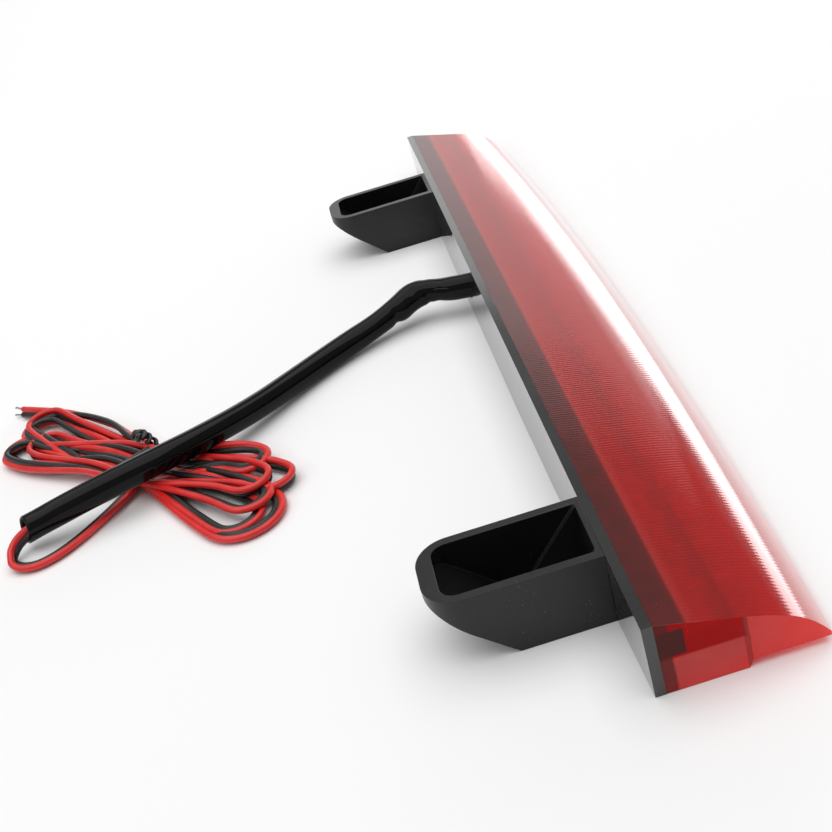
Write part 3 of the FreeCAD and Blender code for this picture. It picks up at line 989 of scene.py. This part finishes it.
@dataclass
class WireHank:
    """Flat pair of red and black cores: out of the sleeve, round and under it, and into a bow-shaped hank.

    Attributes:
        waist: Middle of the hank, in plan.
        heading: Direction from the waist to its left lobe.
        lead_in: Control points from the sleeve to the waist.
        left: Left end of each turn.
        right: Right end of each turn.
        slot_pitch: From one pass to the next across the waist.
        layers: Heights of the passes.
        tail: Last control points, (along, across, height).
        core: Radius of one core.
        step: Distance from section to section.
        exit: Where the pair leaves the sleeve.
        length: Its real length.
    """

    waist: tuple[float, float] = (-0.0155, 0.1305)
    heading: tuple[float, float] = (0.8425, 0.5387)
    lead_in: tuple[Point, ...] = (
        (-0.0416, 0.1525, 0.0088), (-0.042, 0.1600, 0.0066), (-0.0438, 0.1652, 0.0042),
        (-0.0485, 0.1668, 0.0023), (-0.0530, 0.1640, 0.0015), (-0.0548, 0.1580, 0.0014),
        (-0.0518, 0.1510, 0.0014), (-0.0455, 0.1440, 0.0014), (-0.0370, 0.1365, 0.0015),
        (-0.0270, 0.1290, 0.0017))
    left: tuple[Lobe, ...] = (
        Lobe(0.069, 0.0030, 0.0078, 0.0016), Lobe(0.060, 0.0150, 0.0062, 0.0016),
        Lobe(0.064, 0.0055, 0.0064, 0.0030), Lobe(0.052, 0.0098, 0.0058, 0.0026),
        Lobe(0.066, 0.0022, 0.0062, 0.0040), Lobe(0.057, 0.0172, 0.0058, 0.0032))
    right: tuple[Lobe, ...] = (
        Lobe(0.0705, -0.0070, 0.0115, 0.0016), Lobe(0.065, -0.0050, 0.0076, 0.0016),
        Lobe(0.0595, -0.0225, 0.0062, 0.0026), Lobe(0.062, -0.0115, 0.0066, 0.0036),
        Lobe(0.044, -0.0235, 0.0056, 0.0042), Lobe(0.056, -0.0165, 0.0064, 0.0046))
    slot_pitch: float = 0.003255
    layers: tuple[float, float] = (0.0019, 0.0047)
    tail: tuple[tuple[float, float, float], ...] = (
        (0.012, -0.0085, 0.0050), (0.026, -0.0105, 0.0046), (0.040, -0.0095, 0.0040),
        (0.054, -0.0070, 0.0036), (0.066, -0.0030, 0.0030), (0.076, 0.0012, 0.0026), (0.0815, 0.0030, 0.0024))
    core: float = 0.0011
    step: float = 0.0013
    exit: Point = (-0.042, 0.161, 0.0072)
    length: float = 1.75

    def place(self, along: float, across: float, height: float) -> Point:
        """A point of the hank's own plan: waist + heading * along + square of the heading * across."""
        hx, hy = self.heading
        return (self.waist[0] + hx * along - hy * across, self.waist[1] + hy * along + hx * across, height)

    def slot(self, turn: int, side: int) -> tuple[float, float]:
        """Place across the waist and height of one pass.

        Args:
            turn: Number of the turn.
            side: -1 for a pass towards the left lobe, 1 for a pass towards the right.

        Returns:
            Place across, and height.
        """
        column = turn // 2
        return side * (0.5 + column) * self.slot_pitch, self.layers[turn % 2]

    def lobe_points(self, lobe: Lobe, end: int, start: tuple[float, float],
                    stop: tuple[float, float]) -> list[Point]:
        """Out along one leg, round the fold and back along the other.

        A leg leaves its slot on a smooth step, share squared * (3 - 2 share), and the fold is a half circle.

        Args:
            lobe: Its sizes.
            end: 1 for the left lobe, -1 for the right.
            start: Slot (across, height) that it leaves from.
            stop: Slot that it comes back to.

        Returns:
            The control points, in order.
        """
        points = []
        straight = lobe.reach - lobe.half
        for share in (0.16, 0.38, 0.62, 0.84):
            ease = share * share * (3 - 2 * share)
            across = start[0] * (1 - ease) + (lobe.middle - end * lobe.half) * ease
            height = start[1] * (1 - ease) + lobe.height * ease
            points.append(self.place(end * straight * share, across, height))
        for angle in np.radians((-84.0, -52.0, -18.0, 18.0, 52.0, 84.0)):
            across = lobe.middle + end * lobe.half * math.sin(angle)
            reach = straight + lobe.half * math.cos(angle)
            points.append(self.place(end * reach, across, lobe.height))
        for share in (0.84, 0.62, 0.38, 0.16):
            ease = share * share * (3 - 2 * share)
            across = stop[0] * (1 - ease) + (lobe.middle + end * lobe.half) * ease
            height = stop[1] * (1 - ease) + lobe.height * ease
            points.append(self.place(end * straight * share, across, height))
        return points

    def route(self) -> list[Point]:
        """Control points of the whole wire, turn by turn."""
        points = list(self.lead_in)
        for turn, (left, right) in enumerate(zip(self.left, self.right)):
            out, back = self.slot(turn, -1), self.slot(turn, 1)
            following = self.slot(turn + 1, -1)
            if turn == 0:
                points.append(self.place(-0.006, 0.001, 0.0018))
            points += self.lobe_points(left, 1, out, back)
            points += self.lobe_points(right, -1, back, following)
        return points + [self.place(*spot) for spot in self.tail]

    def outline(self) -> np.ndarray:
        """Section of the pair: two circles side by side that meet in a narrow web."""
        angle = np.radians(np.linspace(-158.0, 158.0, 12))
        lobe = np.stack([self.core * (0.97 + np.cos(angle)), self.core * np.sin(angle)], axis=-1)
        return np.concatenate([lobe, -lobe])

    def build(self, binding: bpy.types.Object) -> bpy.types.Object:
        """Builds the pair along its line, turning slowly as it goes.

        Args:
            binding: The twist tie; not used.

        Returns:
            The pair.
        """
        line = evenly(spline_line("pair_line", self.route(), 12), self.step)
        along = lengths_along(line)
        free = 0.35 + 0.75 * np.sin(along / 0.031) + 0.45 * np.sin(along / 0.0173 + 1.0)
        most = np.arcsin(np.clip(line[:, 2] / self.core - 1.02, 0.02, 1.0))
        turn = most * np.sin(free)
        grid = domed(swept(line, self.outline(), turn))
        rows, columns, _ = grid.shape
        index = np.arange(rows * columns).reshape(rows, columns)
        right = np.roll(index, -1, axis=1)
        quads = np.stack([index[:-1], index[1:], right[1:], right[:-1]], axis=-1).reshape(-1, 4)
        mesh = bpy.data.meshes.new("zip_pair")
        mesh.from_pydata(grid.reshape(-1, 3).tolist(), [], quads.tolist())
        column, row = np.meshgrid(np.arange(columns), np.arange(rows - 1))
        steps = ((0, 0), (0, 1), (1, 1), (1, 0))
        uv = np.stack([np.stack([(column + du) / columns, (row + dv) * self.step], axis=-1)
                       for du, dv in steps], axis=2)
        mesh.uv_layers.new(name="cores").data.foreach_set("uv", uv.reshape(-1).astype(np.float32))
        work = bmesh.new()
        work.from_mesh(mesh)
        bmesh.ops.remove_doubles(work, verts=work.verts, dist=1e-7)
        bmesh.ops.recalc_face_normals(work, faces=work.faces)
        work.to_mesh(mesh)
        work.free()
        piece = settle(placed("zip_pair", mesh, [Finish.PAIR], 70.0), ["wire_pair", "wire_hank"])
        ends = self.bare_ends(line, turn[-1])
        return piece

    def bare_ends(self, line: np.ndarray, turn: float) -> bpy.types.Object:
        """Builds the two stripped ends: tinned strands, twisted, a little apart.

        Args:
            line: The wire's line.
            turn: Turn of its last section.

        Returns:
            The ends.
        """
        ahead = unit(line[-1] - line[-4])
        side = unit(np.cross(ahead, (0.0, 0.0, 1.0)))
        lift = np.cross(side, ahead)
        across = side * math.cos(turn) + lift * math.sin(turn)
        reach = np.linspace(-0.0015, 0.0042, 12)
        shell = Shell()
        for sign in (-1.0, 1.0):
            middle = line[-1] + ahead * reach[:, None] + across * (sign * (self.core + 0.06 * reach[:, None]))
            angle = ring(18)
            strands = 0.00042 + 0.00008 * np.cos(6 * angle[None, :] + reach[:, None] * 1400.0)
            section = np.stack([np.cos(angle), np.sin(angle)], axis=-1) * strands[..., None]
            shell.add(domed(swept(middle, section)), wrap=True)
        return settle(shell.build("tinned_ends", [Finish.SOLDER], 60.0))


@dataclass
class TwistTie:
    """Black twist tie round the hank's waist: two wraps, a twisted pair of ends and a folded knot on top.

    Attributes:
        centre: Middle of the wraps.
        heading: Direction of the hank, which the wraps go round.
        half_width: Half the width of the wraps' rounded box.
        half_height: Half its height, with the wire.
        wire: Half the width of the flat wire.
        wraps: Number of turns.
        shift: How far the wraps move to each side along the hank.
        spin: Angle that the ends would twist by if they twisted all the way, in radians.
        twisted: Share of the ends that is twisted.
    """

    centre: Point = (-0.0185, 0.1286, 0.0034)
    heading: tuple[float, float] = (0.8425, 0.5387)
    half_width: float = 0.0124
    half_height: float = 0.0034
    wire: float = 0.0011
    wraps: float = 2.0
    shift: float = 0.0026
    spin: float = 15.0
    twisted: float = 0.62

    def band_line(self) -> np.ndarray:
        """Line of the wraps: a rounded box round the waist, |x/a|^3 + |z/b|^3 = 1, moving along the hank."""
        turn = np.linspace(0.0, 2 * math.pi * self.wraps, 220)
        c, s = np.cos(turn + 2.3), np.sin(turn + 2.3)
        across = self.half_width * np.sign(c) * np.abs(c) ** (2 / 3)
        height = (self.half_height - self.wire * 0.6) * np.sign(s) * np.abs(s) ** (2 / 3)
        along = self.shift * (turn / turn[-1] - 0.5) * 2 + 0.0004 * np.sin(3 * turn)
        return self.to_world(along, across, height)

    def to_world(self, along: np.ndarray, across: np.ndarray, height: np.ndarray) -> np.ndarray:
        """Points of the waist's own axes in the lamp's frame."""
        hx, hy = self.heading
        x, y, z = self.centre
        return np.stack([x + hx * along - hy * across, y + hy * along + hx * across, z + height], axis=-1)

    def twist_line(self, phase: float) -> np.ndarray:
        """One of two ends: a helix of falling radius that rises from the knot, then a loop that folds back.

        Args:
            phase: Start angle of the helix.

        Returns:
            Its points.
        """
        t = np.linspace(0.0, 1.0, 90)
        spin = phase + self.spin * np.minimum(t, self.twisted)
        radius = 0.0014 * (1 - 0.2 * t) + 0.0036 * np.clip(t - self.twisted, 0, 1)
        along = 0.0040 + 0.0060 * t + radius * np.cos(spin) - 0.004 * np.clip(t - 0.6, 0, 1)
        across = -0.0105 + 0.0035 * t + radius * np.sin(spin)
        height = self.half_height + 0.0045 * np.sin(math.pi * 0.8 * t) - 0.0012
        return self.to_world(along, across, height)

    def build(self) -> bpy.types.Object:
        """Builds the tie as flat coated wire swept along its three lines."""
        angle = ring(14)
        flat = np.stack([self.wire * np.cos(angle), 0.55 * self.wire * np.sin(angle)], axis=-1)
        shell = Shell()
        lines = ((self.band_line(), 1.3), (self.twist_line(0.0), 0.95), (self.twist_line(math.pi), 0.95))
        for line, thick in lines:
            shell.add(domed(self.around(line, flat * thick)), wrap=True)
        return settle(shell.build("twist_tie_wire", [Finish.TIE], 70.0), ["twist_tie"])

    def around(self, line: np.ndarray, outline: np.ndarray) -> np.ndarray:
        """Carries an outline along a line that turns in any direction, flat to the hank's heading.

        Args:
            line: Points, (n, 3).
            outline: Section, (m, 2).

        Returns:
            Grid of points, (n, m, 3).
        """
        along = unit(np.gradient(line, axis=0))
        wide = np.array((*self.heading, 0.0)) + 0.0 * along
        wide = unit(wide - along * (wide * along).sum(axis=1, keepdims=True) + 1e-9)
        thin = np.cross(along, wide)
        return line[:, None] + wide[:, None] * outline[None, :, :1] + thin[:, None] * outline[None, :, 1:]


# -------------------------------------------------------------------------- lens
class Zone(IntEnum):
    """Material slots of the lens, in the order of its finishes."""

    ROOF = 0
    PLAIN = 1
    RIBS = 2
    END = 3


@dataclass
class Lens:
    """Red wedge lens: a hollow shell with fine ribs inside its roof and a plain edge at the front."""

    half: float = 0.180
    height: float = 0.020
    end_depth: float = 0.0383
    bow: float = 0.0056
    wall: float = 0.0024
    floor: float = 0.0022
    step: float = 0.0020
    cavity: float = 0.80
    rib_pitch: float = 0.0012
    rib_inside: float = 0.00011
    rib_outside: float = 0.00001
    per_rib: int = 4
    rounding: float = 0.0005

    def depth(self, share: np.ndarray) -> np.ndarray:
        """Depth at a share of the half length: end depth + bow * (1 - share squared)."""
        return self.end_depth + self.bow * (1 - share ** 2)

    def roof(self, u: np.ndarray) -> np.ndarray:
        """Height of the outside at a share u of the depth: height * (1 - 0.5 u - 0.34 u^7)."""
        return self.height * (1 - 0.50 * u - 0.34 * u ** 7)

    def underside(self, u: np.ndarray) -> np.ndarray:
        """Height of the outside below: zero to half the depth, then raised by one step."""
        return np.where(u >= 0.5299, self.step, 0.0)

    def shares(self) -> np.ndarray:
        """Stations along the lamp, four to a rib."""
        count = int(round(2 * self.half / self.rib_pitch)) * self.per_rib
        return np.linspace(-1.0, 1.0, count + 1)

    def sheet(self, share: np.ndarray, u: np.ndarray, inset: float, height: np.ndarray) -> np.ndarray:
        """Grid over the lamp's plan: x = share * (half - inset), y = -u * depth(share).

        Args:
            share: Stations along the lamp, (n,).
            u: Shares of the depth, (m,).
            inset: Distance in from the ends.
            height: Heights, broadcast to (n, m).

        Returns:
            Points, (n, m, 3).
        """
        x = np.broadcast_to(share[:, None] * (self.half - inset), (len(share), len(u)))
        y = -u[None, :] * self.depth(share)[:, None]
        return np.stack([x, y, np.broadcast_to(height, x.shape)], axis=-1)

    def skins(self, u: np.ndarray, inset: float, drop: float, lift: float,
              ribs: float) -> tuple[np.ndarray, np.ndarray]:
        """Upper and lower sheets of the outside or of the chamber.

        Ribs are a wave along X that fades out at the ends and near the parting plane.

        Args:
            u: Shares of the depth.
            inset: Distance in from the ends.
            drop: How far the upper sheet lies under the roof.
            lift: How far the lower sheet lies over the underside.
            ribs: Height of the ribs.

        Returns:
            Upper and lower grids.
        """
        share = self.shares()
        x = share[:, None] * self.half
        wave = 0.5 - 0.5 * np.cos(2 * math.pi * x / self.rib_pitch)
        fade = (np.abs(share[:, None]) < 0.999) * (u[None, :] > 0.02) * (u[None, :] < u[-1] - 0.01)
        top = self.roof(u)[None, :] - drop - ribs * wave * fade
        low = self.underside(u)[None, :] + lift
        return self.sheet(share, u, inset, top), self.sheet(share, u, inset, low)

    def build(self) -> bpy.types.Object:
        """Joins outside, chamber, nose, ends and the rim at the parting plane into one closed shell."""
        u_out = np.array([0.0, 0.03, 0.1, 0.2, 0.32, 0.42, 0.5, 0.53, 0.62, 0.7, 0.77, 0.83, 0.88, 0.92, 0.96,
                          1.0])
        u_in = np.array([0.0, 0.04, 0.14, 0.26, 0.38, 0.5, 0.53, 0.62, 0.7, 0.76, self.cavity])
        top, low = self.skins(u_out, 0.0, 0.0, 0.0, self.rib_outside)
        roof, ground = self.skins(u_in, self.wall, self.wall, self.floor, self.rib_inside)
        shell = Shell()
        for grid, zone in ((top, Zone.ROOF), (low, Zone.PLAIN), (roof, Zone.RIBS), (ground, Zone.PLAIN)):
            shell.add(grid, zone)
        shell.add(np.stack([top[:, -1], low[:, -1]]), Zone.PLAIN)
        shell.add(np.stack([roof[:, -1], ground[:, -1]]), Zone.PLAIN)
        rise = np.linspace(0.0, 1.0, 7)[:, None, None]
        for end in (0, -1):
            shell.add(low[end] * (1 - rise) + top[end] * rise, Zone.END)
            shell.add(ground[end] * (1 - rise) + roof[end] * rise, Zone.PLAIN)
        shell.add(np.stack([top[:, 0], roof[:, 0]]), Zone.PLAIN)
        shell.add(np.stack([low[:, 0], ground[:, 0]]), Zone.PLAIN)
        for end in (0, -1):
            outer = low[end, 0] * (1 - rise[:, 0]) + top[end, 0] * rise[:, 0]
            inner = ground[end, 0] * (1 - rise[:, 0]) + roof[end, 0] * rise[:, 0]
            shell.add(np.stack([outer, inner]), Zone.PLAIN)
        finishes = [Finish.LENS_ROOF, Finish.LENS_PLAIN, Finish.LENS_RIBS, Finish.LENS_END]
        piece = shell.build("lens_shell", finishes, 30.0, 2e-6)
        bevelled(piece, self.rounding, 55.0)
        return settle(piece, ["lens"])


# --------------------------------------------------------------- other sub-assemblies
@dataclass
class Mouldings:
    """Black housing and feet: the CAD shapes with rounded edges."""

    edge: float = 0.00035
    foot_edge: float = 0.0005

    def build(self) -> None:
        """Builds the housing and both feet."""
        settle(softened("rear_housing", "housing_moulding", Finish.HOUSING, self.edge),
               ["rear_housing"])
        for node in ("left_foot", "right_foot"):
            settle(softened(node, node + "_moulding", Finish.FOOT, self.foot_edge), [node])


@dataclass
class InnerParts:
    """CAD nodes that keep their shape and take a detailed material."""

    finishes: tuple[tuple[str, Finish], ...] = (
        ("lens_seal", Finish.SEAL), ("foot_screws", Finish.STEEL), ("circuit_board", Finish.BOARD),
        ("board_screws", Finish.STEEL), ("leds", Finish.LED), ("led_holder", Finish.HOLDER),
        ("resistors", Finish.RESISTOR), ("diode", Finish.DIODE), ("solder_joints", Finish.SOLDER),
        ("black_core", Finish.CORE_BLACK), ("red_core", Finish.CORE_RED), ("strain_tie", Finish.NYLON))

    def dress(self) -> None:
        """Gives each node its material."""
        for node, finish in self.finishes:
            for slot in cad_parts[node].material_slots:
                slot.material = material_of(finish)
            LOG.info("%s: dressed in %s", node, finish.name)


def main() -> None:
    """Builds the scene in order."""
    logging.basicConfig(level=logging.INFO, format="%(message)s")
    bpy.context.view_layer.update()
    Studio().build()
    CableSleeve().build()
    binding = TwistTie().build()
    WireHank().build(binding)
    Lens().build()
    Mouldings().build()
    InnerParts().dress()


if __name__ == "__main__":
    main()
